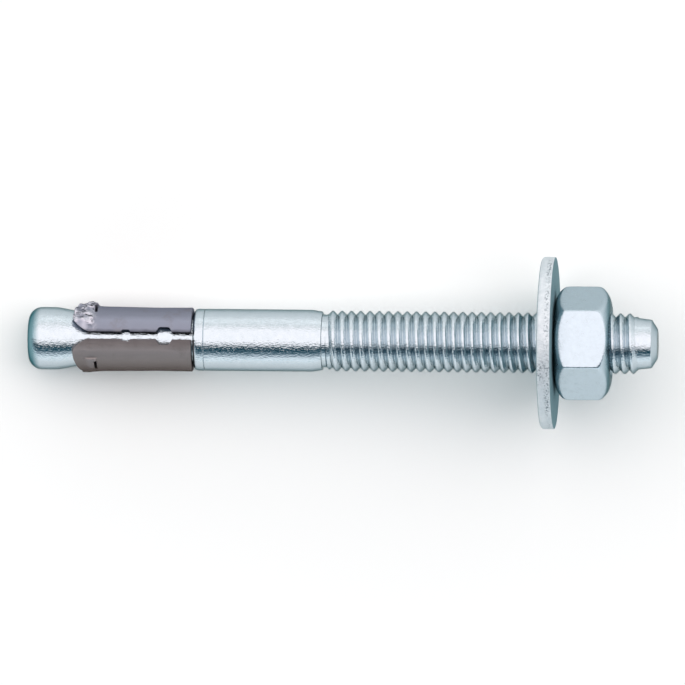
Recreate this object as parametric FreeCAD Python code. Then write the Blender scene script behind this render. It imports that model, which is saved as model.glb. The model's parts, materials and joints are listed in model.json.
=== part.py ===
import FreeCAD, Part
import math
import os

# A wedge anchor for a 10 mm hole: a cold-formed stud, a rolled clip round its neck,
# a large washer and a hexagon nut. All sizes are in millimetres and degrees.
# Each piece is made round the X axis, with the front of the cone at x = 0. The last
# step lays the anchor down as it comes to rest: on the front of the cone and on the
# rim of the washer, with +Z up and the origin under the middle of it.

# Stud: expansion cone
CONE_DIAMETER = 10.1
CONE_FRONT_ROUND = 2.2
CONE_STRAIGHT_LENGTH = 4.75
CONE_HALF_ANGLE = 11.0
CONE_SHOULDER_ROUND = 6.0

# Stud: neck that carries the clip
NECK_DIAMETER = 7.5
NECK_RUN_ROUND = 3.0

# Stud: plain shank
SHANK_DIAMETER = 10.0
SHANK_LENGTH = 20.8
COLLAR_ROUND = 1.1
SHANK_TAIL_LENGTH = 1.7
SHANK_TAIL_DROP = 0.28
SHANK_TAIL_ROUND = 3.0

# Stud: threaded length, shown at its major diameter, and the groove before it
THREAD_DIAMETER = 9.8
THREAD_PITCH = 1.5
THREAD_LENGTH = 49.8
RUNOUT_DIAMETER = 8.5
RUNOUT_WIDTH = 0.6

# Stud: dog point that takes the hammer blows
DOG_DIAMETER = 8.3
DOG_END_DIAMETER = 7.8
DOG_LENGTH = 2.05
DOG_EDGE_ROUND = 0.25
CROWN_LENGTH = 0.95
CROWN_FLAT_DIAMETER = 4.8

# Clip: sheet rolled round the neck, splayed a little over the cone
CLIP_FRONT = 7.45
CLIP_LENGTH = 19.15
CLIP_THICKNESS = 1.2
CLIP_NECK_GAP = 0.15
CLIP_CONE_GAP = 0.06
CLIP_COLLAR_GAP = 0.2
CLIP_NOSE_FLARE = 0.3
CLIP_NOSE_LENGTH = 1.7
CLIP_FLARE_LENGTH = 4.9
CLIP_FLARE_REST = 0.12
CLIP_WAIST_FROM_REAR = 5.5
CLIP_REAR_FLARE = 0.06
CLIP_EDGE_ROUND = 0.2

# Clip: slots between the fingers, and the openings on them
FINGER_COUNT = 3
SLOT_ANGLE = 6.5
SLOT_WIDTH = 1.2
NOTCH_DEPTH = 3.8
NOTCH_MOUTH_WIDTH = 5.8
NOTCH_CURVE = 1.7
NOTCH_STEPS = 3
SMALL_OPENING_FROM_FRONT = 8.6
SMALL_OPENING_FLATS = 1.75
LARGE_OPENING_FROM_REAR = 4.35
LARGE_OPENING_FLATS = 2.6
OPENING_CORNER_ROUND = 0.25

# Clip: one nib on each finger, lanced out of the sheet in front of a slit
NIB_FROM_FRONT = 2.0
NIB_LENGTH = 1.8
NIB_WIDTH = 2.0
NIB_HEIGHT = 0.24
NIB_SLIT_LENGTH = 0.45
NIB_SLIT_WIDTH = 2.4

# Washer, punched: its rim is rolled over on the side of the cone
WASHER_DIAMETER = 27.8
WASHER_HOLE_DIAMETER = 10.5
WASHER_THICKNESS = 2.15
WASHER_ROLLED_EDGE = 0.6

# Nut, 16 mm across its flats
NUT_ACROSS_FLATS = 16.0
NUT_HEIGHT = 9.1
NUT_END_ROUND = 4.0
NUT_END_OVERSIZE = 0.66
NUT_THREAD_GAP = 0.06
NUT_MOUTH_DIAMETER = 10.8
NUT_MOUTH_ANGLE = 45.0
NUT_TURN = 4.6

# Length of thread that stands free past the nut
THREAD_PAST_NUT = 3.75

# Straight steps that draw a small rounded edge
EDGE_STEPS = 3

# Places along the stud that follow from the sizes
CONE_TAPER = math.tan(math.radians(CONE_HALF_ANGLE))
NECK_START = CONE_STRAIGHT_LENGTH + (CONE_DIAMETER - NECK_DIAMETER) / 2 / CONE_TAPER
CLIP_REAR = CLIP_FRONT + CLIP_LENGTH
LARGE_OPENING = CLIP_REAR - LARGE_OPENING_FROM_REAR
COLLAR = CLIP_REAR + CLIP_COLLAR_GAP
SHANK_END = COLLAR + SHANK_LENGTH
THREAD_START = SHANK_END + RUNOUT_WIDTH
THREAD_END = THREAD_START + THREAD_LENGTH
DOG_START = THREAD_END + THREAD_PITCH / 2
DOG_END = DOG_START + DOG_LENGTH
STUD_END = DOG_END + CROWN_LENGTH
NUT_OUTER_FACE = THREAD_END - THREAD_PAST_NUT
NUT_SEAT = NUT_OUTER_FACE - NUT_HEIGHT
WASHER_BACK = NUT_SEAT - WASHER_THICKNESS

AXIS_POINT = FreeCAD.Vector(0, 0, 0)
AXIS = FreeCAD.Vector(1, 0, 0)


def corner(x, y, radius=0.0, steps=0):
    """One corner of an outline: sharp, rounded by an arc, or rounded in a few straight steps."""
    return FreeCAD.Vector(x, y, 0), radius, steps


def rounding(before, point, after, radius, steps):
    """The edges that round a corner, as long as its sides allow, with their first and last point."""
    back = (before - point).normalize()
    ahead = (after - point).normalize()
    half_angle = back.getAngle(ahead) / 2
    longest = 0.49 * min(before.distanceToPoint(point), after.distanceToPoint(point))
    reach = min(radius / math.tan(half_angle), longest)
    radius = reach * math.tan(half_angle)
    inward = (back + ahead).normalize()
    centre = point + inward * (radius / math.sin(half_angle))
    start = point + back * reach
    end = point + ahead * reach
    arc = Part.Arc(start, centre - inward * radius, end).toShape()
    if steps == 0:
        return [arc], start, end
    stops = arc.discretize(Number=steps + 1)
    return [Part.makeLine(a, b) for a, b in zip(stops, stops[1:])], start, end


def outline(corners):
    """A closed face in the XY plane from a list of corners."""
    edges = []
    ends = []
    for i, (point, radius, steps) in enumerate(corners):
        start, end = point, point
        if radius > 0:
            before, after = corners[i - 1][0], corners[(i + 1) % len(corners)][0]
            arcs, start, end = rounding(before, point, after, radius, steps)
            edges.extend(arcs)
        ends.append((start, end))
    for i, (_, leave) in enumerate(ends):
        edges.append(Part.makeLine(leave, ends[(i + 1) % len(ends)][0]))
    return Part.Face(Part.Wire(Part.__sortEdges__(edges)))


def turned(corners):
    """A solid of revolution about the axis from corners at (x, radius)."""
    return outline(corners).revolve(AXIS_POINT, AXIS, 360)


def at_angle(shape, angle):
    """Turn a shape made on the +Y side to an angle counted from +Z towards +Y."""
    return shape.rotated(AXIS_POINT, AXIS, 90 - angle)


def sector(corners, angle, width):
    """A profile turned through a width in degrees, centred on an angle."""
    face = outline(corners).rotated(AXIS_POINT, AXIS, -width / 2)
    return at_angle(face.revolve(AXIS_POINT, AXIS, width), angle)


def radial_prism(corners, inner, outer, angle):
    """An outline of corners at (x, width) run outwards between two radii."""
    flat = outline(corners).rotated(AXIS_POINT, AXIS, 90)
    flat.translate(FreeCAD.Vector(0, inner, 0))
    return at_angle(flat.extrude(FreeCAD.Vector(0, outer - inner, 0)), angle)


def cone_radius(x):
    """Radius of the tapered part of the cone."""
    return CONE_DIAMETER / 2 - (x - CONE_STRAIGHT_LENGTH) * CONE_TAPER


def anchor_stud():
    """The bar, turned in one profile from the cone to the dog point."""
    shank = SHANK_DIAMETER / 2
    thread = THREAD_DIAMETER / 2
    return turned([
        corner(0, 0),
        corner(0, CONE_DIAMETER / 2, CONE_FRONT_ROUND),
        corner(CONE_STRAIGHT_LENGTH, CONE_DIAMETER / 2, CONE_SHOULDER_ROUND),
        corner(NECK_START, NECK_DIAMETER / 2, NECK_RUN_ROUND, 1),
        corner(COLLAR, NECK_DIAMETER / 2),
        corner(COLLAR, shank, COLLAR_ROUND, EDGE_STEPS),
        corner(SHANK_END - SHANK_TAIL_LENGTH, shank, SHANK_TAIL_ROUND),
        corner(SHANK_END, shank - SHANK_TAIL_DROP),
        corner(SHANK_END, RUNOUT_DIAMETER / 2),
        corner(THREAD_START, RUNOUT_DIAMETER / 2),
        corner(THREAD_START + THREAD_PITCH / 3, thread),
        corner(THREAD_END, thread),
        corner(DOG_START, DOG_DIAMETER / 2),
        corner(DOG_END, DOG_END_DIAMETER / 2, DOG_EDGE_ROUND, 1),
        corner(STUD_END, CROWN_FLAT_DIAMETER / 2),
        corner(STUD_END, 0),
    ])


def rolled_sheet():
    """The clip before it is slotted: its bore clears the neck and runs up the cone."""
    bore = NECK_DIAMETER / 2 + CLIP_NECK_GAP
    waist = bore + CLIP_THICKNESS
    nose = waist + CLIP_NOSE_FLARE
    front_bore = cone_radius(CLIP_FRONT) + CLIP_CONE_GAP
    bore_start = CLIP_FRONT + (front_bore - bore) / CONE_TAPER
    return turned([
        corner(CLIP_FRONT, front_bore),
        corner(CLIP_FRONT, nose, CLIP_EDGE_ROUND, 1),
        corner(CLIP_FRONT + CLIP_NOSE_LENGTH, nose),
        corner(CLIP_FRONT + CLIP_FLARE_LENGTH, waist + CLIP_FLARE_REST),
        corner(CLIP_REAR - CLIP_WAIST_FROM_REAR, waist),
        corner(CLIP_REAR, waist + CLIP_REAR_FLARE, CLIP_EDGE_ROUND, 1),
        corner(CLIP_REAR, bore),
        corner(bore_start, bore),
    ])


def hexagon(x, flats):
    """Corners of a hexagonal opening with two points along the slot."""
    across = flats / math.cos(math.radians(30)) / 2
    turns = [math.radians(60 * k) for k in range(6)]
    return [
        corner(x + across * math.cos(turn), across * math.sin(turn), OPENING_CORNER_ROUND, 1)
        for turn in turns
    ]


def slot_cutters(angle, slot_end, inner, outer):
    """What is punched out between two fingers: slot, curved mouth and openings."""
    ahead = CLIP_FRONT - 1
    mouth = NOTCH_MOUTH_WIDTH / 2
    side = [(ahead, mouth + 1)]
    for k in range(NOTCH_STEPS):
        share = k / NOTCH_STEPS
        side.append((CLIP_FRONT + NOTCH_DEPTH * share, mouth * (1 - share) ** NOTCH_CURVE))
    slot_degrees = math.degrees(SLOT_WIDTH / (inner + CLIP_THICKNESS / 2))
    slot = [
        corner(ahead, inner - 1),
        corner(slot_end, inner - 1),
        corner(slot_end, outer + 1),
        corner(ahead, outer + 1),
    ]
    notch = [corner(x, -width) for x, width in side]
    notch.append(corner(CLIP_FRONT + NOTCH_DEPTH, 0))
    notch += [corner(x, width) for x, width in reversed(side)]
    small = hexagon(CLIP_FRONT + SMALL_OPENING_FROM_FRONT, SMALL_OPENING_FLATS)
    large = hexagon(LARGE_OPENING, LARGE_OPENING_FLATS)
    return [sector(slot, angle, slot_degrees)] + [
        radial_prism(shape, inner - 1, outer + 1, angle) for shape in (notch, small, large)
    ]


def nib(angle, inner, nose):
    """A lanced nib that rises towards its slit, and the slit behind it."""
    start = CLIP_FRONT + NIB_FROM_FRONT
    step = start + NIB_LENGTH
    root = (inner + nose) / 2
    bump = [
        corner(start, root),
        corner(start, nose - CLIP_FLARE_REST),
        corner(step, nose + NIB_HEIGHT),
        corner(step, root),
    ]
    slit = [
        corner(step, inner - 1),
        corner(step + NIB_SLIT_LENGTH, inner - 1),
        corner(step + NIB_SLIT_LENGTH, nose + 1),
        corner(step, nose + 1),
    ]
    return (
        sector(bump, angle, math.degrees(NIB_WIDTH / nose)),
        sector(slit, angle, math.degrees(NIB_SLIT_WIDTH / nose)),
    )


def expansion_clip():
    """The rolled sheet with its slots, openings and nibs. One slot runs right through."""
    inner = NECK_DIAMETER / 2 + CLIP_NECK_GAP
    nose = inner + CLIP_THICKNESS + CLIP_NOSE_FLARE
    step = 360 / FINGER_COUNT
    clip = rolled_sheet()
    for k in range(FINGER_COUNT):
        bump, slit = nib(SLOT_ANGLE + step * (k + 0.5), inner, nose)
        clip = clip.fuse(bump).cut(slit)
    for k in range(FINGER_COUNT):
        slot_end = CLIP_REAR + 1 if k == 0 else LARGE_OPENING
        for cutter in slot_cutters(SLOT_ANGLE + step * k, slot_end, inner, nose):
            clip = clip.cut(cutter)
    return clip.removeSplitter()


def washer():
    """The washer, with the rolled-over edge towards the cone."""
    hole = WASHER_HOLE_DIAMETER / 2
    rim = WASHER_DIAMETER / 2
    return turned([
        corner(WASHER_BACK, hole),
        corner(WASHER_BACK, rim, WASHER_ROLLED_EDGE, EDGE_STEPS),
        corner(NUT_SEAT, rim),
        corner(NUT_SEAT, hole),
    ])


def hex_nut():
    """A hexagonal bar trimmed by rounded ends, with a countersunk bore."""
    tip = NUT_ACROSS_FLATS / 2 / math.cos(math.radians(30))
    bore = THREAD_DIAMETER / 2 + NUT_THREAD_GAP
    mouth = NUT_MOUTH_DIAMETER / 2
    sink = (mouth - bore) / math.tan(math.radians(NUT_MOUTH_ANGLE))
    turns = [math.radians(60 * k) for k in range(6)]
    tips = [FreeCAD.Vector(NUT_SEAT, tip * math.cos(a), tip * math.sin(a)) for a in turns]
    bar = Part.Face(Part.makePolygon(tips + tips[:1])).extrude(AXIS * NUT_HEIGHT)
    ends = turned([
        corner(NUT_SEAT, 0),
        corner(NUT_SEAT, tip + NUT_END_OVERSIZE, NUT_END_ROUND, EDGE_STEPS),
        corner(NUT_OUTER_FACE, tip + NUT_END_OVERSIZE, NUT_END_ROUND, EDGE_STEPS),
        corner(NUT_OUTER_FACE, 0),
    ])
    hole = turned([
        corner(NUT_SEAT, 0),
        corner(NUT_SEAT, mouth),
        corner(NUT_SEAT + sink, bore),
        corner(NUT_OUTER_FACE - sink, bore),
        corner(NUT_OUTER_FACE, mouth),
        corner(NUT_OUTER_FACE, 0),
    ])
    nut = bar.common(ends).cut(hole)
    return nut.rotated(AXIS_POINT, AXIS, 60 - NUT_TURN)


def resting_tilt():
    """How far the axis rises when the cone's front and the washer's rim both touch."""
    cone_centre = CONE_DIAMETER / 2 - CONE_FRONT_ROUND
    rim_centre = WASHER_DIAMETER / 2 - WASHER_ROLLED_EDGE
    along = WASHER_BACK + WASHER_ROLLED_EDGE - CONE_FRONT_ROUND
    rise = rim_centre - cone_centre
    span = math.hypot(along, rise)
    return math.degrees(
        math.atan2(rise, along) - math.asin((CONE_FRONT_ROUND - WASHER_ROLLED_EDGE) / span)
    )


def resting_place(pieces):
    """The move that lays the anchor on z = 0, with the origin under its middle."""
    tilt = FreeCAD.Rotation(FreeCAD.Vector(0, 1, 0), -resting_tilt())
    lying = Part.makeCompound(pieces)
    lying.Placement = FreeCAD.Placement(AXIS_POINT, tilt)
    box = lying.optimalBoundingBox(False, False)
    move = FreeCAD.Vector(-box.Center.x, -box.Center.y, -box.ZMin)
    return FreeCAD.Placement(move, tilt)


def print_place(name, place, x, radius=0.0):
    """Print where a point of the anchor lies once it is at rest."""
    point = place.multVec(FreeCAD.Vector(x, 0, radius))
    print(f"{name}: {point.x:.4f} {point.y:.4f} {point.z:.4f}")


def main():
    os.makedirs("parts", exist_ok=True)
    pieces = {
        "anchor_stud": anchor_stud(),
        "expansion_clip": expansion_clip(),
        "washer": washer(),
        "hex_nut": hex_nut(),
    }
    place = resting_place(list(pieces.values()))
    for name, shape in pieces.items():
        if not shape.isValid() or len(shape.Solids) != 1:
            raise ValueError(f"{name} is not one valid solid")
        solid = shape.Solids[0]
        solid.Placement = place.multiply(solid.Placement)
        solid.exportStep(f"parts/{name}.step")
        print(f"{name}: volume {solid.Volume:.2f} area {solid.Area:.2f}")
    direction = place.Rotation.multVec(AXIS)
    print(f"tilt: {resting_tilt():.4f}")
    print(f"axis: {direction.x:.6f} {direction.y:.6f} {direction.z:.6f}")
    print_place("front of the cone", place, 0)
    print_place("middle of the clip", place, (CLIP_FRONT + CLIP_REAR) / 2)
    print_place("middle of the shank", place, (COLLAR + SHANK_END) / 2)
    print_place("washer's seat", place, WASHER_BACK, (WASHER_HOLE_DIAMETER + WASHER_DIAMETER) / 4)
    print_place("middle of the nut", place, (NUT_SEAT + NUT_OUTER_FACE) / 2)
    print_place("middle of the free thread", place, (NUT_OUTER_FACE + THREAD_END) / 2)
    print_place("end of the dog point", place, STUD_END)


main()
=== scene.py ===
"""A wedge anchor with its clip, washer and nut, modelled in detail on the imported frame."""

import json
import math
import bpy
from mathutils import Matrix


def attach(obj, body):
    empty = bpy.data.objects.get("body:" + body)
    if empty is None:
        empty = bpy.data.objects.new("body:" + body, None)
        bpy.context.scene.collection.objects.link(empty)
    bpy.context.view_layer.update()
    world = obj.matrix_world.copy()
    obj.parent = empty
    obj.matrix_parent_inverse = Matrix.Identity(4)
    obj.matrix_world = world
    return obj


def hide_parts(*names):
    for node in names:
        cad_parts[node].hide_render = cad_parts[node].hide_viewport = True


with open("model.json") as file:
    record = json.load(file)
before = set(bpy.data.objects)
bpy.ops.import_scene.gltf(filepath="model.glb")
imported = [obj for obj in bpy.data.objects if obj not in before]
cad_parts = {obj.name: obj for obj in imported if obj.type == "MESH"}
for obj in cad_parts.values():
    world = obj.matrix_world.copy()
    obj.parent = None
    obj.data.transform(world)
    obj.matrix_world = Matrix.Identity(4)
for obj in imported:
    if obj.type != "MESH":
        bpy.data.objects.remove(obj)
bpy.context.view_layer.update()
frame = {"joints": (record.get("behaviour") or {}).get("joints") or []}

from types import SimpleNamespace

import bmesh
import bpy
from bpy.props import FloatProperty, FloatVectorProperty, IntProperty, PointerProperty
from mathutils import Matrix, Vector, noise

bl_info = {
    "name": "Wedge anchor",
    "version": (1, 0, 0),
    "blender": (4, 5, 0),
    "location": "3D View > Sidebar > Anchor",
    "description": "Models a wedge anchor with its clip, washer and nut in bright zinc plate",
    "category": "Add Mesh",
}

JOINTS = {joint["name"]: joint for joint in frame["joints"]}
AXIS = Vector(JOINTS["nut_turn"]["axis"])
TILT = math.atan2(AXIS.z, AXIS.x)
# the nut's joint stands in the middle of the nut, this far from the cone's front
NUT_MIDDLE = 89.7
FRONT = Vector(JOINTS["nut_turn"]["pos_m"]) - AXIS * NUT_MIDDLE / 1000
# pieces are modelled in millimetres round the X axis, with the cone's front at x = 0
PLACE = Matrix.Translation(FRONT) @ Matrix.Rotation(-TILT, 4, "Y") @ Matrix.Scale(0.001, 4)
# longest edge and steps round the axis of a piece whose surface is shaped point by point
FINE_EDGE = 0.3
FINE_STEPS = 216
FINGERS = 3


def linear(hex_colour):
    """An sRGB hex colour as linear red, green and blue."""
    parts = [int(hex_colour[i : i + 2], 16) / 255 for i in (1, 3, 5)]
    return tuple(c / 12.92 if c <= 0.04045 else ((c + 0.055) / 1.055) ** 2.4 for c in parts)


def length(name, description, mm):
    return FloatProperty(
        name=name, description=description, default=mm / 1000, min=0, unit="LENGTH"
    )


def angle(name, description, degrees):
    return FloatProperty(
        name=name, description=description, default=math.radians(degrees), subtype="ANGLE"
    )


def colour(name, description, hex_colour):
    return FloatVectorProperty(
        name=name, description=description, default=linear(hex_colour), subtype="COLOR", min=0, max=1
    )


class StudSizes(bpy.types.PropertyGroup):
    cone_diameter: length("Cone", "Widest diameter of the expansion cone", 10.1)
    cone_round: length("Cone rounding", "Radius of the cone's front edge", 2.2)
    cone_straight: length("Cone straight", "Length of the cone before it tapers", 4.75)
    neck_start: length("Neck start", "Place where the taper meets the neck", 11.44)
    neck_diameter: length("Neck", "Diameter of the neck inside the clip", 7.5)
    collar: length("Collar", "Place of the shoulder behind the clip", 26.8)
    collar_round: length("Collar rounding", "Radius of the shoulder's edge", 1.1)
    collar_length: length("Collar length", "Distance from the shoulder to the fine crease", 1.75)
    crease_depth: length("Crease", "Depth of the fine crease behind the collar", 0.11)
    shank_diameter: length("Shank", "Diameter of the plain shank", 10.0)
    shank_end: length("Shank end", "Place where the plain shank ends", 47.6)
    tail_length: length("Tail", "Length of the shank's tapered tail", 1.7)
    tail_drop: length("Tail drop", "How far the tail tapers, in radius", 0.28)
    runout_diameter: length("Groove", "Diameter of the groove before the thread", 8.5)
    runout_width: length("Groove width", "Width of the groove before the thread", 0.6)
    dog_start: length("Dog point start", "Place where the dog point starts", 98.75)
    dog_diameter: length("Dog point", "Diameter of the dog point at its root", 8.3)
    dog_end_diameter: length("Dog point end", "Diameter of the dog point at its edge", 7.8)
    dog_length: length("Dog point length", "Length of the dog point to its edge", 2.05)
    crown_length: length("Crown", "Length of the slope at the very end", 0.95)
    crown_diameter: length("Crown flat", "Diameter of the flat at the very end", 4.8)


class ThreadSizes(bpy.types.PropertyGroup):
    pitch: length("Pitch", "Advance of the thread in one turn", 1.5)
    diameter: length("Diameter", "Diameter over the crests", 9.8)
    depth: length("Depth", "Height of the thread from root to crest", 0.62)
    flank: angle("Flank", "Angle between a flank and the radius", 44)
    crest: length("Crest", "Width of the crest before it is rounded", 0.26)
    crest_round: length("Crest rounding", "Radius of the crest's edges", 0.3)
    root_round: length("Root rounding", "Radius of the root's edges", 0.06)
    crest_place: length("Crest place", "Place of a crest on the image's upper side", 49.2)
    lead_in: length("Lead-in", "Length over which the thread's ends fade out", 0.7)
    nut_gap: length("Nut gap", "Radial gap between the stud's thread and the nut's", 0.08)
    steps: IntProperty(name="Steps", description="Steps in one turn", default=72, min=12)


class ClipSizes(bpy.types.PropertyGroup):
    front: length("Front", "Place of the fingers' front edge", 7.45)
    rear: length("Rear", "Place of the clip's rear edge", 26.6)
    bore: length("Bore", "Inner radius round the neck", 3.9)
    thickness: length("Thickness", "Thickness of the sheet", 1.2)
    nose_flare: length("Nose flare", "How far the nose is splayed, in radius", 0.3)
    rear_flare: length("Rear flare", "How far the rear edge is splayed, in radius", 0.06)
    slot_width: length("Slot", "Width of the slots between the fingers", 1.2)
    mouth_width: length("Mouth", "Width of a slot's mouth at the front edge", 5.8)
    mouth_depth: length("Mouth depth", "Length of a slot's mouth", 4.5)
    small_opening: length("Small opening", "Size across the flats of the small opening", 1.9)
    small_place: length("Small opening place", "Its distance behind the front edge", 8.6)
    large_opening: length("Large opening", "Size across the flats of the large opening", 2.9)
    large_place: length("Large opening place", "Its distance ahead of the rear edge", 4.35)
    nib_place: length("Nib place", "Distance of a nib behind the front edge", 1.6)
    nib_skew: angle("Nib skew", "How far the nibs stand beside their slits", 7)
    nib_length: length("Nib length", "Length of a nib", 1.8)
    nib_width: length("Nib width", "Width of a nib", 2.0)
    nib_height: length("Nib height", "Height of a nib above the sheet", 0.32)
    slit_length: length("Slit", "Length of the slit behind a nib", 0.45)
    slit_width: length("Slit width", "Width of the slit behind a nib", 2.4)
    edge_round: length("Edge rounding", "Rounding of the punched edges", 0.12)
    slot_angle: angle("Slot angle", "Turn of the open slot from straight up", 6.5)


class WasherSizes(bpy.types.PropertyGroup):
    back: length("Back", "Place of the washer's face on the cone's side", 83.0)
    thickness: length("Thickness", "Thickness of the washer", 2.15)
    diameter: length("Diameter", "Outer diameter", 27.8)
    hole: length("Hole", "Diameter of the hole", 10.5)
    rolled_edge: length("Rolled edge", "Radius of the rim's rolled-over edge", 0.6)
    smooth_rim: length("Smooth rim", "Width of the rim's part that was sheared smoothly", 1.35)


class NutSizes(bpy.types.PropertyGroup):
    seat: length("Seat", "Place of the nut's face on the washer", 85.15)
    height: length("Height", "Height of the nut", 9.1)
    across_flats: length("Across flats", "Size across the flats", 16.0)
    edge_softness: length("Edge softness", "Rounding of the cold-formed edges", 0.28)
    end_softness: length("End softness", "Rounding between the flats and the domed ends", 0.75)
    end_round: length("End rounding", "Radius of the domed ends", 4.0)
    end_oversize: length("End oversize", "How far the dome starts outside the corners", 0.66)
    mouth: length("Mouth", "Diameter of the countersink", 10.8)
    turn: angle("Turn", "Turn of the front flat from straight up", 4.6)


class Finishes(bpy.types.PropertyGroup):
    zinc: colour("Zinc", "Bright blue zinc plate on the stud", "#ccd6dd")
    zinc_cloud: colour("Zinc cloud", "Duller clouds in the zinc plate", "#b4c3ca")
    zinc_edge: colour("Zinc edge", "Zinc plate seen at a grazing angle", "#7a8e8e")
    zinc_speck: colour("Zinc speck", "Specks on the torn rim of the washer", "#73838d")
    # painted shade: a darker blue-green mixed into the zinc on faces towards either end, standing in
    # for the dark reflections there
    zinc_painted_shade: colour("Zinc shade", "Deeper passivation on the faces across the axis", "#6f929b")
    washer_zinc: colour("Washer zinc", "Zinc plate on the washer", "#eef3f6")
    nut_zinc: colour("Nut zinc", "Zinc plate on the nut", "#c2d2dd")
    # the next four colours are painted light: painted shade low down and beside the open slot, and
    # painted reflection tints from brown below to blue above
    clip_low_painted_shade: colour("Clip brown", "Coating low on the clip's sides", "#6d6663")
    clip_warm_painted_tint: colour("Clip warm grey", "Coating on the browner side of the clip", "#9f9a9a")
    clip_blue_painted_tint: colour("Clip blue grey", "Coating on the bluer side of the clip", "#949aa9")
    clip_slot_painted_shade: colour("Clip slot edge", "Coating rubbed dark beside the open slot", "#34353e")
    clip_stain: colour("Clip stain", "Stains in the clip's coating", "#78716f")
    clip_nose: colour("Clip nose", "Sheet laid bare on the hammered nose", "#c0c2cc")
    # painted shade in the creases of the hammered nose
    clip_crease_painted_shade: colour("Clip creases", "Creases of the hammered nose", "#3e404a")
    clip_edge: colour("Clip edge", "Sheet of the clip seen at a grazing angle", "#5c5654")


class StageLook(bpy.types.PropertyGroup):
    floor: colour("Floor", "Colour of the floor", "#f3faf9")
    lean: angle("Lean", "How far the camera leans towards the cone", 1.8)
    roll: angle("Roll", "Turn of the camera about its own line of sight", 0.55)
    distance: FloatProperty(
        name="Distance", description="From the camera to the anchor", default=4.0, unit="LENGTH"
    )
    field: length("Field", "Width of what the camera sees", 110.5)
    aim: FloatVectorProperty(
        name="Aim", description="Point in the middle of the image",
        default=(-0.00007, -0.00024, 0.01028), subtype="TRANSLATION", unit="LENGTH",
    )
    brightness: FloatProperty(
        name="Brightness", description="Brightness of the light tent", default=1.7, min=0
    )
    floor_width: length("Floor width", "Width of the floor", 6000)


class AnchorSettings(bpy.types.PropertyGroup):
    stud: PointerProperty(type=StudSizes, name="Stud")
    thread: PointerProperty(type=ThreadSizes, name="Thread")
    clip: PointerProperty(type=ClipSizes, name="Clip")
    washer: PointerProperty(type=WasherSizes, name="Washer")
    nut: PointerProperty(type=NutSizes, name="Nut")
    finishes: PointerProperty(type=Finishes, name="Finishes")
    stage: PointerProperty(type=StageLook, name="Stage")


def millimetres(group):
    """The lengths of a group of sizes in millimetres, and its other values as they are."""
    values = {}
    for key, prop in group.bl_rna.properties.items():
        if prop.type == "FLOAT" and not prop.is_array:
            scale = 1000 if prop.unit == "LENGTH" else 1
            values[key] = getattr(group, key) * scale
        elif prop.type == "INT":
            values[key] = getattr(group, key)
    return SimpleNamespace(**values)


# Modelling


def deselect_all():
    if bpy.context.object and bpy.context.object.mode != "OBJECT":
        bpy.ops.object.mode_set(mode="OBJECT")
    bpy.ops.object.select_all(action="DESELECT")


def make_active(obj):
    deselect_all()
    obj.select_set(True)
    bpy.context.view_layer.objects.active = obj


def rounded(corners, step):
    """Points of an open outline of corners (x, radius, rounding), with arcs of short steps."""
    points = []
    for i, (x, y, radius) in enumerate(corners):
        point = Vector((x, y))
        if not radius or i in (0, len(corners) - 1):
            points.append(point)
            continue
        back = Vector(corners[i - 1][:2]) - point
        ahead = Vector(corners[i + 1][:2]) - point
        half = back.angle(ahead) / 2
        # a corner beside a sharp one may use up the whole stretch between them
        share = [0.49 if corners[k][2] else 0.98 for k in (i - 1, i + 1)]
        reach = min(radius / math.tan(half), share[0] * back.length, share[1] * ahead.length)
        radius = reach * math.tan(half)
        back.normalize()
        ahead.normalize()
        centre = point + (back + ahead).normalized() * radius / math.sin(half)
        first = point + back * reach - centre
        turn = first.angle_signed(point + ahead * reach - centre)
        count = max(2, math.ceil(abs(math.degrees(turn)) / step))
        for k in range(count + 1):
            points.append(centre + Matrix.Rotation(-turn * k / count, 2) @ first)
    return points


def divided(points, longest):
    """The same outline with its long stretches divided."""
    result = [points[0]]
    for a, b in zip(points, points[1:]):
        count = max(1, math.ceil((b - a).length / longest))
        result += [a.lerp(b, k / count) for k in range(1, count + 1)]
    return result


def draw(name, points):
    """Draw an outline from one point on, in the plane through the axis and +Y."""
    deselect_all()
    bpy.ops.mesh.primitive_plane_add(size=1)
    obj = bpy.context.object
    obj.name = obj.data.name = name
    bpy.ops.object.mode_set(mode="EDIT")
    bpy.ops.mesh.merge(type="CENTER")
    bpy.ops.transform.translate(value=(points[0].x, points[0].y, 0))
    here = points[0]
    for point in points[1:]:
        step = point - here
        bpy.ops.mesh.extrude_region_move(TRANSFORM_OT_translate={"value": (step.x, step.y, 0)})
        here = point
    bpy.ops.object.mode_set(mode="OBJECT")
    return obj


def tidy_faces():
    """Merge doubled points and turn all faces outwards, in edit mode."""
    bpy.ops.mesh.select_all(action="SELECT")
    bpy.ops.mesh.remove_doubles(threshold=0.0005)
    bpy.ops.mesh.normals_make_consistent(inside=False)


def turned(name, points, steps):
    """A piece turned about the axis from its outline."""
    obj = draw(name, points)
    bpy.ops.object.mode_set(mode="EDIT")
    bpy.ops.mesh.select_all(action="SELECT")
    bpy.ops.mesh.spin(steps=steps, angle=math.tau, center=(0, 0, 0), axis=(1, 0, 0))
    tidy_faces()
    bpy.ops.object.mode_set(mode="OBJECT")
    return obj


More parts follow.
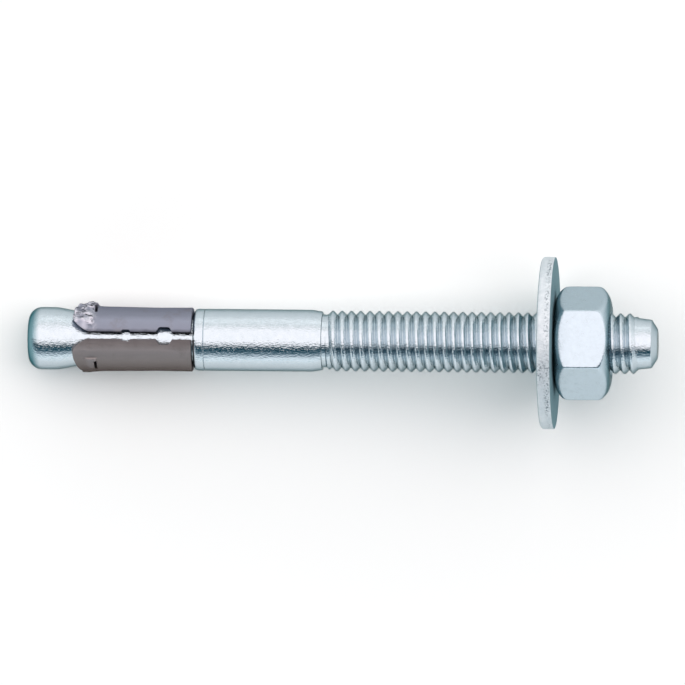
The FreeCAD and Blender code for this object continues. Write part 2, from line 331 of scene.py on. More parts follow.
def thread_surface(name, sizes, radius, start, end):
    """A right-handed thread swept along the axis and cut square at both ends."""
    half = sizes.pitch / 2
    crest = sizes.crest / 2
    foot = crest + sizes.depth * math.tan(sizes.flank)
    low = radius - sizes.depth
    profile = rounded([
        (-half, low, 0),
        (-foot, low, sizes.root_round),
        (-crest, radius, sizes.crest_round),
        (crest, radius, sizes.crest_round),
        (foot, low, sizes.root_round),
        (half, low, 0),
    ], step=20)
    first = sizes.crest_place + sizes.pitch * (
        math.floor((start - sizes.crest_place) / sizes.pitch) - 1
    )
    turns = math.ceil((end - first) / sizes.pitch) + 2
    obj = draw(name, [Vector((p.x + first, p.y)) for p in profile])
    sweep = obj.modifiers.new("Sweep", "SCREW")
    sweep.axis = "X"
    sweep.angle = math.tau
    sweep.screw_offset = sizes.pitch
    sweep.iterations = turns
    sweep.steps = sweep.render_steps = sizes.steps
    sweep.use_merge_vertices = False
    bpy.ops.object.modifier_apply(modifier="Sweep")
    bpy.ops.object.mode_set(mode="EDIT")
    tidy_faces()
    for place, side in ((start, "clear_inner"), (end, "clear_outer")):
        bpy.ops.mesh.select_all(action="SELECT")
        bpy.ops.mesh.bisect(
            plane_co=(place, 0, 0), plane_no=(1, 0, 0), threshold=0.0001, **{side: True}
        )
    bpy.ops.object.mode_set(mode="OBJECT")
    return obj


def off_axis(point):
    """Distance of a point from the axis."""
    return math.hypot(point.y, point.z)


def direction(point, middle=0.0):
    """Turn about the axis from a direction, or from straight up, to a point."""
    return (math.atan2(point.y, point.z) - middle + math.pi) % math.tau - math.pi


def set_radius(vert, radius):
    """Move a point straight in or out to a distance from the axis."""
    share = radius / off_axis(vert.co)
    vert.co.y *= share
    vert.co.z *= share


def limit_radius(obj, limit):
    """Press points in to a limiting radius that depends on their place on the axis."""
    for vert in obj.data.vertices:
        allowed = limit(vert.co.x)
        if off_axis(vert.co) > allowed:
            set_radius(vert, allowed)


def join(first, *others):
    make_active(first)
    for obj in others:
        obj.select_set(True)
    bpy.ops.object.join()


def bridge(obj, places):
    """Close the gap between the two open rings that stand at each place on the axis."""
    reach = 0.06
    make_active(obj)
    bpy.ops.object.mode_set(mode="EDIT")
    bpy.ops.mesh.select_mode(type="EDGE")
    for place in places:
        mesh = bmesh.from_edit_mesh(obj.data)
        for edge in mesh.edges:
            middle = (edge.verts[0].co.x + edge.verts[1].co.x) / 2
            edge.select_set(edge.is_boundary and abs(middle - place) <= reach)
        bmesh.update_edit_mesh(obj.data)
        bpy.ops.mesh.bridge_edge_loops()
    tidy_faces()
    bpy.ops.mesh.select_mode(type="VERT")
    bpy.ops.object.mode_set(mode="OBJECT")


def cut_with(obj, cutter):
    """Cut a piece with another one, which is used up."""
    make_active(obj)
    cut = obj.modifiers.new("Cut", "BOOLEAN")
    cut.operation = "DIFFERENCE"
    cut.solver = "EXACT"
    cut.object = cutter
    bpy.ops.object.modifier_apply(modifier="Cut")
    bpy.data.objects.remove(cutter)


def smooth(obj, degrees):
    """Shade smooth, apart from the edges sharper than an angle."""
    make_active(obj)
    bpy.ops.object.shade_smooth_by_angle(angle=math.radians(degrees))


def paint(obj, name, share):
    """Store a share between 0 and 1 on each point, for the material."""
    layer = obj.data.attributes.new(name, "FLOAT", "POINT")
    for vert, value in zip(obj.data.vertices, layer.data):
        value.value = min(1, max(0, share(vert.co)))


def put_in_place(obj, body, node, material):
    """Put a piece in its place in the frame and hand it to its body."""
    make_active(obj)
    obj.matrix_world = PLACE
    bpy.ops.object.transform_apply(location=True, rotation=True, scale=True)
    obj.data.materials.clear()
    obj.data.materials.append(material)
    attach(obj, body)
    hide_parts(node)


def grain(point, size, seed=0.0):
    """Smooth noise between -1 and 1 whose lumps are about one size apart."""
    return noise.noise(point / size + Vector((seed, seed, seed)))


# Materials

# numbers of the sockets of a Mix node that mixes colours
FACTOR, FIRST, SECOND = 0, 6, 7


def add_node(tree, kind, inputs, **settings):
    """Add a node with its settings, and fill its inputs with values, or with links from sockets
    or from the first output of other nodes."""
    node = tree.nodes.new(kind)
    for name, value in settings.items():
        setattr(node, name, value)
    for name, value in inputs.items():
        if isinstance(value, bpy.types.Node):
            value = next(output for output in value.outputs if output.enabled)
        if isinstance(value, bpy.types.NodeSocket):
            tree.links.new(value, node.inputs[name])
        else:
            node.inputs[name].default_value = value
    return node


def rgba(rgb):
    return (*rgb, 1)


def per_mm(size):
    """Scale of a pattern whose features are a number of millimetres apart."""
    return 1000 / size


def set_stops(ramp, stops):
    """Fill a colour ramp with stops (place from 0 to 1, level, linear colour)."""
    elements = ramp.elements
    while len(elements) > 1:
        elements.remove(elements[-1])
    for i, (place, level, tone) in enumerate(stops):
        element = elements[0] if i == 0 else elements.new(place)
        element.position = place
        element.color = rgba([level * c for c in tone])


def new_material(name):
    """An empty material and the coordinates of the anchor along its own axis."""
    material = bpy.data.materials.new(name)
    material.use_nodes = True
    tree = material.node_tree
    tree.nodes.clear()
    place = add_node(tree, "ShaderNodeTexCoord", {})
    along = add_node(tree, "ShaderNodeMapping", {
        "Vector": place.outputs["Object"], "Location": tuple(FRONT), "Rotation": (0, -TILT, 0),
    }, vector_type="TEXTURE")
    return material, tree, along


def zinc_plate(name, looks, tint, metal, rough, patchy, peel, shade):
    """Bright blue zinc plate, barrel plated: mirror-like but never smooth, with a fine orange
    peel that breaks up the edges of reflections, cloudy patches, and a painted blue-green shade
    on the faces across the axis, which stands in for the dark reflections there. The peel's
    depth is in millimetres."""
    material, tree, along = new_material(name)
    clouds = add_node(tree, "ShaderNodeTexNoise", {
        "Vector": along, "Scale": per_mm(1.2), "Detail": 6, "Roughness": 0.75,
    })
    plate = add_node(tree, "ShaderNodeMix", {
        FACTOR: clouds, FIRST: rgba(tint), SECOND: rgba(looks.zinc_cloud),
    }, data_type="RGBA")
    # how much the surface faces either end, from the cosine between its normal and the axis
    surface = add_node(tree, "ShaderNodeNewGeometry", {})
    cosine = add_node(tree, "ShaderNodeVectorMath", {
        0: surface.outputs["Normal"], 1: tuple(AXIS),
    }, operation="DOT_PRODUCT")
    facing = add_node(tree, "ShaderNodeMath", {0: cosine}, operation="ABSOLUTE")
    # painted shade on the faces towards either end, standing in for the dark reflections there
    ends = add_node(tree, "ShaderNodeMapRange", {
        "Value": facing, "From Min": 0.74, "From Max": 0.92, "To Max": shade,
    })
    # and painted shade on the stud's cone front, from a share stored on its points
    painted_end_shade = add_node(tree, "ShaderNodeAttribute", {}, attribute_name="painted_end_shade")
    depth = add_node(tree, "ShaderNodeMath", {
        0: ends, 1: painted_end_shade.outputs["Fac"],
    }, operation="MAXIMUM")
    shaded = add_node(tree, "ShaderNodeMix", {
        FACTOR: depth, FIRST: plate, SECOND: rgba(looks.zinc_painted_shade),
    }, data_type="RGBA")
    # torn steel: dark specks in the zinc where the punch broke the sheet
    torn = add_node(tree, "ShaderNodeAttribute", {}, attribute_name="wear")
    specks = add_node(tree, "ShaderNodeTexNoise", {
        "Vector": along, "Scale": per_mm(0.3), "Detail": 2, "Roughness": 0.6,
    })
    dark = add_node(tree, "ShaderNodeMapRange", {
        "Value": specks, "From Min": 0.5, "From Max": 0.62,
    })
    dark_torn = add_node(tree, "ShaderNodeMath", {
        0: dark, 1: torn.outputs["Fac"],
    }, operation="MULTIPLY")
    spotted = add_node(tree, "ShaderNodeMix", {
        FACTOR: dark_torn, FIRST: shaded, SECOND: rgba(looks.zinc_speck),
    }, data_type="RGBA")
    dull = add_node(tree, "ShaderNodeMapRange", {
        "Value": clouds, "From Min": 0.3, "From Max": 0.7,
        "To Min": rough, "To Max": rough + patchy,
    })
    # the real peel is finer than a pixel, and is drawn 0.24 mm apart so that it shows
    stretched = add_node(tree, "ShaderNodeMapping", {"Vector": along, "Scale": (0.5, 1, 1)})
    skin = add_node(tree, "ShaderNodeTexNoise", {
        "Vector": stretched, "Scale": per_mm(0.24), "Detail": 2, "Roughness": 0.6,
    })
    bumps = add_node(tree, "ShaderNodeBump", {
        "Height": skin, "Strength": 1, "Distance": peel / 1000,
    })
    shader = add_node(tree, "ShaderNodeBsdfPrincipled", {
        "Base Color": spotted, "Metallic": metal, "Roughness": dull,
        "Specular Tint": rgba(looks.zinc_edge), "Normal": bumps,
    })
    add_node(tree, "ShaderNodeOutputMaterial", {"Surface": shader})
    return material


def coated_sheet(name, looks):
    """Cold-rolled sheet with a dull grey coating: soft wide highlights, rolling marks along the
    axis, painted shade and painted reflection tints from brown to blue across it, and rubbed bare on
    the hammered nose, with painted shade in its creases."""
    material, tree, along = new_material(name)
    clouds = add_node(tree, "ShaderNodeTexNoise", {
        "Vector": along, "Scale": per_mm(3), "Detail": 6, "Roughness": 0.65,
    })
    # the painted shade and reflection tints are spread over the clip's width in metres, and their
    # limits wander
    width = 0.011
    wander = 0.08
    place = add_node(tree, "ShaderNodeSeparateXYZ", {"Vector": along})
    across = add_node(tree, "ShaderNodeMapRange", {
        "Value": place.outputs["Y"], "From Min": -width / 2, "From Max": width / 2,
    })
    wandering = add_node(tree, "ShaderNodeMath", {
        0: clouds, 1: wander, 2: across,
    }, operation="MULTIPLY_ADD")
    # millimetres from the axis towards +Y, and the brightness and tone painted there: painted shade
    # low down and beside the open slot, painted reflection tints from brown below to blue above
    painted_light_tones = [
        (-5.2, 1, looks.clip_low_painted_shade), (-1.8, 1, looks.clip_warm_painted_tint), (-0.8, 0.6, looks.clip_warm_painted_tint),
        (1.05, 1, looks.clip_slot_painted_shade), (1.7, 0.87, looks.clip_blue_painted_tint), (3, 1, looks.clip_blue_painted_tint),
        (3.8, 0.82, looks.clip_blue_painted_tint),
    ]
    # the painted shade and reflection tints across the clip
    sheet = add_node(tree, "ShaderNodeValToRGB", {"Fac": wandering})
    set_stops(sheet.color_ramp, [
        (side / 1000 / width + 0.5 + wander / 2, level, tone) for side, level, tone in painted_light_tones
    ])
    stain = add_node(tree, "ShaderNodeMapRange", {
        "Value": clouds, "From Min": 0.55, "From Max": 0.8, "To Max": 0.6,
    })
    stained = add_node(tree, "ShaderNodeMix", {
        FACTOR: stain, FIRST: sheet, SECOND: rgba(looks.clip_stain),
    }, data_type="RGBA")
    # the hammered nose: bare bright folds with painted shade in the creases between them
    worn = add_node(tree, "ShaderNodeAttribute", {}, attribute_name="wear").outputs["Fac"]
    folds = add_node(tree, "ShaderNodeTexNoise", {
        "Vector": along, "Scale": per_mm(0.8), "Detail": 3, "Roughness": 0.55, "Distortion": 0.8,
    })
    # painted shade in the creases between the folds
    crease = add_node(tree, "ShaderNodeMapRange", {
        "Value": folds, "From Min": 0.34, "From Max": 0.5,
    })
    silver_with_crease_shade = add_node(tree, "ShaderNodeMix", {
        FACTOR: crease, FIRST: rgba(looks.clip_crease_painted_shade), SECOND: rgba(looks.clip_nose),
    }, data_type="RGBA")
    bare = add_node(tree, "ShaderNodeMix", {
        FACTOR: worn, FIRST: stained, SECOND: silver_with_crease_shade,
    }, data_type="RGBA")
    dull = add_node(tree, "ShaderNodeMapRange", {"Value": worn, "To Min": 0.6, "To Max": 0.16})
    # real rolling marks are finer than a pixel, and are drawn 0.3 mm apart so that they show
    stretched = add_node(tree, "ShaderNodeMapping", {"Vector": along, "Scale": (0.12, 1, 1)})
    marks = add_node(tree, "ShaderNodeTexNoise", {
        "Vector": stretched, "Scale": per_mm(0.3), "Detail": 3,
    })
    rolled = add_node(tree, "ShaderNodeBump", {
        "Height": marks, "Strength": 1, "Distance": 0.00004,
    })
    relief = add_node(tree, "ShaderNodeMath", {0: folds, 1: worn}, operation="MULTIPLY")
    beaten = add_node(tree, "ShaderNodeBump", {
        "Height": relief, "Strength": 1, "Distance": 0.0003, "Normal": rolled,
    })
    shader = add_node(tree, "ShaderNodeBsdfPrincipled", {
        "Base Color": bare, "Metallic": 1, "Roughness": dull,
        "Specular Tint": rgba(looks.clip_edge), "Normal": beaten,
    })
    add_node(tree, "ShaderNodeOutputMaterial", {"Surface": shader})
    return material


# Pieces


class ANCHOR_OT_stud(bpy.types.Operator):
    """Model the stud with its cone, neck, shank, thread and dog point"""

    bl_idname = "wedge_anchor.stud"
    bl_label = "Stud"

    def execute(self, context):
        s = millimetres(context.scene.wedge_anchor.stud)
        t = millimetres(context.scene.wedge_anchor.thread)
        looks = context.scene.wedge_anchor.finishes
        cone, neck, shank = s.cone_diameter / 2, s.neck_diameter / 2, s.shank_diameter / 2
        groove = s.runout_diameter / 2
        thread_start = s.shank_end + s.runout_width
        crease = s.collar + s.collar_length
        edge = s.dog_start + s.dog_length
        # place, radius and rounding of each corner
        front = rounded([
            (0, 0, 0),
            (0, cone, s.cone_round),
            (s.cone_straight, cone, 6),
            (s.neck_start, neck, 3),
            (s.collar, neck, 0),
            (s.collar, shank, s.collar_round),
            (crease - 0.12, shank, 0.08),
            (crease, shank - s.crease_depth, 0.03),
            (crease + 0.1, shank, 0.06),
            (s.shank_end - s.tail_length, shank, 3),
            (s.shank_end, shank - s.tail_drop, 0.12),
            (s.shank_end, groove, 0.1),
            (thread_start, groove, 0),
        ], step=6)
        body = turned("stud", front, t.steps)
        dog = rounded([
            (s.dog_start, s.dog_diameter / 2, 0),
            (edge, s.dog_end_diameter / 2, 0.25),
            (edge + s.crown_length, s.crown_diameter / 2, 0.35),
            (edge + s.crown_length, 0, 0),
        ], step=10)
        point = turned("dog_point", dog, t.steps)
        # the thread starts and ends a little away from the turned parts, to be bridged
        gap = 0.05
        start, end = thread_start + gap, s.dog_start - gap
        thread = thread_surface("thread", t, t.diameter / 2, start, end)
        slope = (t.diameter / 2 - groove) / t.lead_in
        limit_radius(thread, lambda x: min(
            groove + (x - start) * slope, s.dog_diameter / 2 + (end - x) * slope
        ))
        join(body, thread, point)
        bridge(body, [thread_start, s.dog_start])
        smooth(body, 40)
        # painted shade on the cone's front, nearly up to the end of its rounding, standing in for
        # the dark reflections there
        painted_shade_reach = 0.92
        fade = 0.5
        paint(body, "painted_end_shade", lambda point: (painted_shade_reach - point.x / s.cone_round) / fade)
        zinc = zinc_plate(
            "bright_zinc_plate", looks, looks.zinc,
            metal=1, rough=0.07, patchy=0.07, peel=0.055, shade=0.2,
        )
        put_in_place(body, "stud", "anchor_stud", zinc)
        return {"FINISHED"}


class ANCHOR_OT_clip(bpy.types.Operator):
    """Model the rolled clip with its fingers, openings, nibs and hammered noses"""

    bl_idname = "wedge_anchor.clip"
    bl_label = "Clip"

    def block(self, start, end, width, low, high):
        """A cutter with square corners, from one place on the axis to another."""
        deselect_all()
        bpy.ops.mesh.primitive_cube_add(size=2)
        cutter = bpy.context.object
        for vert in cutter.data.vertices:
            x, y, z = vert.co
            vert.co = (start if x < 0 else end, y * width / 2, low if z < 0 else high)
        return cutter

    def mouth(self, c, low, high):
        """A cutter for a slot's mouth, which narrows in a curve behind the front edge."""
        half = c.mouth_width / 2
        # the curve leaves the front edge quickly and meets the slot softly
        steps = 12
        quickness = 0.6
        softness = 1.3
        side = [Vector((c.front - 1, half + 1))]
        for k in range(steps + 1):
            share = (k / steps) ** 2
            width = half * (1 - share ** quickness) ** softness
            side.append(Vector((c.front + c.mouth_depth * share, width)))
        other = [Vector((p.x, -p.y)) for p in reversed(side[:-1])]
        cutter = draw("mouth", side + other)
        bpy.ops.object.mode_set(mode="EDIT")
        bpy.ops.mesh.select_all(action="SELECT")
        bpy.ops.mesh.edge_face_add()
        bpy.ops.transform.translate(value=(0, 0, low))
        bpy.ops.mesh.extrude_region_move(TRANSFORM_OT_translate={"value": (0, 0, high - low)})
        tidy_faces()
        bpy.ops.object.mode_set(mode="OBJECT")
        return cutter

    def opening(self, x, flats, low, high):
        """A cutter for a hexagonal opening with soft corners and two points along the slot."""
        deselect_all()
        bpy.ops.mesh.primitive_cylinder_add(
            vertices=6,
            radius=flats / 2 / math.cos(math.radians(30)),
            depth=high - low,
            location=(x, 0, (low + high) / 2),
            rotation=(0, 0, math.radians(30)),
        )
        cutter = bpy.context.object
        bpy.ops.object.transform_apply(location=True, rotation=True, scale=True)
        soft = cutter.modifiers.new("Soft", "BEVEL")
        soft.width = 0.1 * flats
        soft.segments = 4
        soft.limit_method = "ANGLE"
        soft.angle_limit = math.radians(50)
        soft.affect = "EDGES"
        bpy.ops.object.modifier_apply(modifier="Soft")
        return cutter

    def outline(self, c, s, waist, nose):
        """The outline of the rolled sheet, whose inside follows the cone and the neck."""
        clearance = 0.06
        taper = (s.cone_diameter - s.neck_diameter) / 2 / (s.neck_start - s.cone_straight)
        front_bore = s.cone_diameter / 2 - (c.front - s.cone_straight) * taper + clearance
        bore_start = c.front + (front_bore - c.bore) / taper
        return rounded([
            (c.front, front_bore, 0),
            (c.front, nose, 0.3),
            (c.front + 1.7, nose, 1),
            (c.front + 4.9, waist + 0.12, 4),
            (c.rear - 5.5, waist, 4),
            (c.rear, waist + c.rear_flare, 0.2),
            (c.rear, c.bore, 0.2),
            (bore_start, c.bore, 3),
            (c.front, front_bore, 0),
        ], step=15)

    def cut_openings(self, clip, c, low, high):
        """Cut the three slots with their mouths and openings, and the slits of the nibs."""
        large = c.rear - c.large_place
        slit = c.front + c.nib_place + c.nib_length
        for k in range(FINGERS):
            slot_end = c.rear + 1 if k == 0 else large
            slot = c.slot_angle + math.tau / FINGERS * k
            finger = c.slot_angle + math.tau / FINGERS * (k + 0.5)
            cutters = [
                (slot, self.block(c.front - 1, slot_end, c.slot_width, low, high)),
                (slot, self.mouth(c, low, high)),
                (slot, self.opening(c.front + c.small_place, c.small_opening, low, high)),
                (slot, self.opening(large, c.large_opening, low, high)),
                (finger, self.block(slit, slit + c.slit_length, c.slit_width, low, high)),
            ]
            for turn, cutter in cutters:
                cutter.data.transform(Matrix.Rotation(-turn, 4, "X"))
                cut_with(clip, cutter)

    def nibs(self, c):
        """The directions of the nibs."""
        return [
            c.slot_angle + math.tau / FINGERS * (k + 0.5) + c.nib_skew for k in range(FINGERS)
        ]

    def execute(self, context):
        c = millimetres(context.scene.wedge_anchor.clip)
        s = millimetres(context.scene.wedge_anchor.stud)
        looks = context.scene.wedge_anchor.finishes
        waist = c.bore + c.thickness
        nose = waist + c.nose_flare
        outline = divided(self.outline(c, s, waist, nose), FINE_EDGE)
        clip = turned("clip", outline, FINE_STEPS)
        self.raise_nibs(clip, c, nose)
        self.cut_openings(clip, c, c.bore - 1, nose + 1)
        self.hammer(clip, c)
        bpy.ops.object.mode_set(mode="EDIT")
        tidy_faces()
        bpy.ops.object.mode_set(mode="OBJECT")
        soft = clip.modifiers.new("Soft", "BEVEL")
        soft.width = c.edge_round
        soft.segments = 2
        soft.limit_method = "ANGLE"
        soft.angle_limit = math.radians(40)
        bpy.ops.object.modifier_apply(modifier="Soft")
        smooth(clip, 35)
        paint(clip, "wear", lambda point: self.wear(c, point, nose))
        sheet = coated_sheet("coated_cold_rolled_sheet", looks)
        put_in_place(clip, "clip", "expansion_clip", sheet)
        return {"FINISHED"}

    def nib_share(self, c, point, middle, nose):
        """How far a point lies up the slope of a nib, or zero beside it. The slope ends at two
        thirds of the nib's length, and the nib runs on over its slit."""
        slope = 3 / 2
        over_slit = 1.3
        along = (point.x - c.front - c.nib_place) / c.nib_length
        beside = abs(direction(point, middle)) * nose >= c.nib_width / 2
        if beside or not 0 < along < over_slit:
            return 0
        return min(1, along * slope)

    def raise_nibs(self, clip, c, nose):
        """Lift the sheet's outside to nibs that rise towards their slits."""
        inside = c.bore + 0.6
        for middle in self.nibs(c):
            for vert in clip.data.vertices:
                out = off_axis(vert.co)
                share = self.nib_share(c, vert.co, middle, nose)
                if out > inside and share:
                    set_radius(vert, out + c.nib_height * share)

    def calm(self, behind):
        """What dents are divided by: 1 near the front edge, and far more behind the nose."""
        nose_length = 3.7
        steepness = 7
        return 1 + math.exp((behind - nose_length) * steepness)

    def crumple(self, c, point):
        """How strongly the upper finger's nose is crumpled at a point, from 0 to 1."""
        off = direction(point, c.slot_angle + math.pi / FINGERS)
        half_width = 0.85
        behind = point.x - c.front + 0.5 * grain(point, 1.3, seed=11)
        return math.exp(-((off / half_width) ** 4)) / self.calm(behind)

    def hammer(self, clip, c):
        """Crumple the fingers' noses, the upper one most, as the sheet is after upsetting."""
        inside = c.bore + 0.5
        # the far corners start this many radians before the middle of a finger, and are beaten
        # back by some millimetres, over a length in millimetres
        corner = 0.4
        beaten_back = 1.3
        beaten_length = 5
        for vert in clip.data.vertices:
            behind = vert.co.x - c.front
            if behind > beaten_length:
                continue
            # the two fingers at the open slot are beaten back at their far corners
            for side in (1, -1):
                off = side * direction(vert.co, c.slot_angle + side * math.pi / FINGERS)
                if abs(off) < math.pi / FINGERS:
                    share = min(1, max(0, (off + corner) / (2 * corner))) ** 1.5
                    vert.co.x += beaten_back * share * (1 - behind / beaten_length) ** 2
            out = off_axis(vert.co)
            if out < inside:
                continue
            # each kind of lump has a height and a size in millimetres
            folds = 0.75 * abs(grain(vert.co, 1.3, seed=3)) + 0.3 * abs(grain(vert.co, 0.6, seed=5))
            pits = 0.1 * grain(vert.co, 0.35, seed=7)
            dents = 0.06 * grain(vert.co, 0.8, seed=9) / self.calm(behind)
            lift = dents + self.crumple(c, vert.co) * (0.05 + folds + pits)
            set_radius(vert, out + lift)

    def wear(self, c, point, nose):
        """How far the coating is rubbed off: mostly on the crumpled nose, a little on the nibs."""
        inside = c.bore + 0.9
        if off_axis(point) < inside:
            return 0
        nib = max(self.nib_share(c, point, middle, nose) for middle in self.nibs(c))
        return max(0.1 * nib, self.crumple(c, point) * (0.75 + 1.1 * grain(point, 0.9, seed=13)))


class ANCHOR_OT_washer(bpy.types.Operator):
    """Model the punched washer with its rolled-over edge"""

    bl_idname = "wedge_anchor.washer"
    bl_label = "Washer"

    def execute(self, context):
        w = millimetres(context.scene.wedge_anchor.washer)
        looks = context.scene.wedge_anchor.finishes
        hole, rim = w.hole / 2, w.diameter / 2
        seat = w.back + w.thickness
        outline = rounded([
            (w.back, (hole + rim) / 2, 0),
            (w.back, rim, w.rolled_edge),
            (w.back + w.smooth_rim, rim, 0.1),
            (w.back + w.smooth_rim + 0.15, rim - 0.03, 0.1),
            (seat, rim - 0.02, 0.12),
            (seat, hole, 0.25),
            (w.back, hole, 0.12),
            (w.back, (hole + rim) / 2, 0),
        ], step=12)
        washer = turned("washer", divided(outline, FINE_EDGE), FINE_STEPS)
        smooth(washer, 40)
        torn = w.back + 0.55 * w.thickness
        # direction and half width of the scuff, in radians
        scuff_at = -0.33
        scuff_reach = 0.13

        def wear(point):
            """The rim is torn on the nut's side, and scuffed in one place."""
            if off_axis(point) < rim - 0.2:
                return 0
            scuff = 0.75 * math.exp(-(((direction(point) - scuff_at) / scuff_reach) ** 2))
            tear = 0.65 + grain(point, 4) if torn < point.x < seat - 0.35 else 0
            return max(scuff, tear)

        paint(washer, "wear", wear)
        zinc = zinc_plate(
            "bright_zinc_plate_on_punched_steel", looks, looks.washer_zinc,
            metal=0.8, rough=0.55, patchy=0.12, peel=0.06, shade=0.9,
        )
        put_in_place(washer, "washer", "washer", zinc)
        return {"FINISHED"}


class ANCHOR_OT_nut(bpy.types.Operator):
    """Model the nut with its domed ends and its thread"""

    bl_idname = "wedge_anchor.nut"
    bl_label = "Nut"

    def execute(self, context):
        n = millimetres(context.scene.wedge_anchor.nut)
        t = millimetres(context.scene.wedge_anchor.thread)
        looks = context.scene.wedge_anchor.finishes
        flat = n.across_flats / 2
        tip = flat / math.cos(math.radians(30))
        face = n.seat + n.height
        mouth = n.mouth / 2
        groove = t.diameter / 2 + t.nut_gap
        sink = mouth - groove
        outline = rounded([
            (n.seat + sink, groove, 0),
            (n.seat, mouth, 0),
            (n.seat, tip + n.end_oversize, n.end_round),
            (face, tip + n.end_oversize, n.end_round),
            (face, mouth, 0),
            (face - sink, groove, 0),
        ], step=4)
        nut = turned("nut", divided(outline, 0.22), steps=288)
        self.press_flats(nut, n, flat)
        # the thread ends a little inside the countersinks, to be bridged
        gap = 0.03
        start, end = n.seat + sink, face - sink
        thread = thread_surface("nut_thread", t, groove, start + gap, end - gap)
        join(nut, thread)
        bridge(nut, [start, end])
        smooth(nut, 40)
        zinc = zinc_plate(
            "bright_zinc_plate_on_cold_formed_steel", looks, looks.nut_zinc,
            metal=1, rough=0.2, patchy=0.1, peel=0.03, shade=0.5,
        )
        put_in_place(nut, "nut", "hex_nut", zinc)
        return {"FINISHED"}

    def press_flats(self, nut, n, flat):
        """Press six flats into the round blank, with edges that are softer at the ends."""
        sides = [n.turn + k * math.pi / 3 for k in range(6)]
        sides = [Vector((0, math.sin(a), math.cos(a))) for a in sides]
        middle = n.seat + n.height / 2
        # share of the half height from which the edges get softer
        plain = 0.35
        for vert in nut.data.vertices:
            share = max(0, abs(vert.co.x - middle) / (n.height / 2) - plain) / (1 - plain)
            soft = n.edge_softness + (n.end_softness - n.edge_softness) * share ** 2
            for side in sides:
                excess = vert.co.dot(side) - (flat - soft)
                if excess > 0:
                    vert.co -= side * (excess - soft * math.tanh(excess / soft))


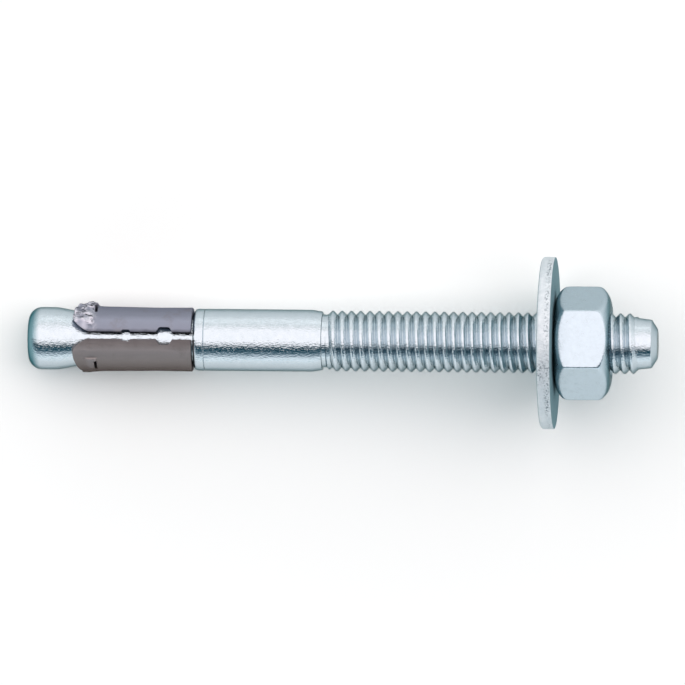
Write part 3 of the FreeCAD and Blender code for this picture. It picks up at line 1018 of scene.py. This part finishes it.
class ANCHOR_OT_stage(bpy.types.Operator):
    """Set up the pale floor, the soft light and the camera"""

    bl_idname = "wedge_anchor.stage"
    bl_label = "Stage"

    def execute(self, context):
        look = context.scene.wedge_anchor.stage
        self.add_floor(look)
        self.add_light(context.scene, look)
        self.add_camera(context.scene, look)
        return {"FINISHED"}

    def add_floor(self, look):
        deselect_all()
        bpy.ops.mesh.primitive_plane_add(size=look.floor_width)
        floor = bpy.context.object
        floor.name = "floor"
        material = bpy.data.materials.new("matt_white_card")
        material.use_nodes = True
        tree = material.node_tree
        tree.nodes.clear()
        # matt white card: even and without gloss, so that only soft shadows show on it
        card = add_node(tree, "ShaderNodeBsdfDiffuse", {"Color": rgba(look.floor)})
        add_node(tree, "ShaderNodeOutputMaterial", {"Surface": card})
        floor.data.materials.append(material)

    def add_light(self, scene, look):
        """A white light tent round the X axis, with one dark gap on the -Y side."""
        world = bpy.data.worlds.new("light_tent")
        scene.world = world
        world.use_nodes = True
        tree = world.node_tree
        tree.nodes.clear()
        ray = add_node(tree, "ShaderNodeTexCoord", {})
        parts = add_node(tree, "ShaderNodeSeparateXYZ", {"Vector": ray.outputs["Generated"]})
        lean = add_node(tree, "ShaderNodeMath", {
            0: parts.outputs["Y"], 1: parts.outputs["Z"],
        }, operation="ARCTAN2")
        spread = add_node(tree, "ShaderNodeMapRange", {
            "Value": lean, "From Min": -math.pi / 2, "From Max": math.pi / 2,
        })
        # degrees from straight up towards +Y, brightness there, and colour
        stops = [
            (-90, 0.66, "#f6fafc"), (-80, 0.85, "#f6fafc"), (-72, 0.8, "#f4f8fc"),
            (-66, 0.56, "#eef4fb"), (-60, 0.38, "#dceaf4"), (-54, 0.27, "#a8ccdc"),
            (-48, 0.2, "#7cb4cc"), (-40, 0.13, "#5ca8c4"), (-30, 0.08, "#54a4c0"),
            (-22, 0.09, "#64a8c8"), (-18.5, 0.75, "#fcfbfa"), (-16, 1.0, "#fff4f4"),
            (42, 1.0, "#fff4f4"), (50, 0.84, "#fff9f7"), (60, 0.52, "#fcf9f9"),
            (68, 0.82, "#fffcfc"), (78, 1.0, "#fffcfa"), (90, 0.5, "#fcfbfc"),
        ]
        shade = add_node(tree, "ShaderNodeValToRGB", {"Fac": spread})
        set_stops(shade.color_ramp, [
            (degrees / 180 + 0.5, level, linear(tint)) for degrees, level, tint in stops
        ])
        tent = add_node(tree, "ShaderNodeBackground", {
            "Color": shade, "Strength": look.brightness,
        })
        add_node(tree, "ShaderNodeOutputWorld", {"Surface": tent})

    def add_camera(self, scene, look):
        lens = bpy.data.cameras.new("camera")
        camera = bpy.data.objects.new("camera", lens)
        scene.collection.objects.link(camera)
        lens.lens = lens.sensor_width * look.distance / look.field
        lens.clip_end = 5 * look.distance
        away = Vector((-math.sin(look.lean), 0, math.cos(look.lean)))
        camera.matrix_world = (
            Matrix.Translation(Vector(look.aim) + away * look.distance)
            @ Matrix.Rotation(-look.lean, 4, "Y")
            @ Matrix.Rotation(look.roll, 4, "Z")
        )
        scene.camera = camera


class ANCHOR_PT_panel(bpy.types.Panel):
    """Sizes, colours and steps of the wedge anchor"""

    bl_idname = "ANCHOR_PT_panel"
    bl_label = "Wedge anchor"
    bl_space_type = "VIEW_3D"
    bl_region_type = "UI"
    bl_category = "Anchor"

    def draw(self, context):
        settings = context.scene.wedge_anchor
        for group in settings.__annotations__:
            box = self.layout.box()
            box.label(text=group.capitalize())
            values = getattr(settings, group)
            for key in values.__annotations__:
                box.prop(values, key)
        for operator in OPERATORS:
            self.layout.operator(operator.bl_idname)


GROUPS = (
    StudSizes, ThreadSizes, ClipSizes, WasherSizes, NutSizes, Finishes, StageLook, AnchorSettings,
)
OPERATORS = (
    ANCHOR_OT_stud, ANCHOR_OT_clip, ANCHOR_OT_washer, ANCHOR_OT_nut, ANCHOR_OT_stage,
)


def register():
    for item in (*GROUPS, *OPERATORS, ANCHOR_PT_panel):
        bpy.utils.register_class(item)
    bpy.types.Scene.wedge_anchor = PointerProperty(type=AnchorSettings)


def unregister():
    del bpy.types.Scene.wedge_anchor
    for item in reversed((*GROUPS, *OPERATORS, ANCHOR_PT_panel)):
        bpy.utils.unregister_class(item)


def main():
    register()
    bpy.ops.wedge_anchor.stud()
    bpy.ops.wedge_anchor.clip()
    bpy.ops.wedge_anchor.washer()
    bpy.ops.wedge_anchor.nut()
    bpy.ops.wedge_anchor.stage()
    bpy.context.scene.view_settings.view_transform = "Standard"


if __name__ == "__main__":
    main()
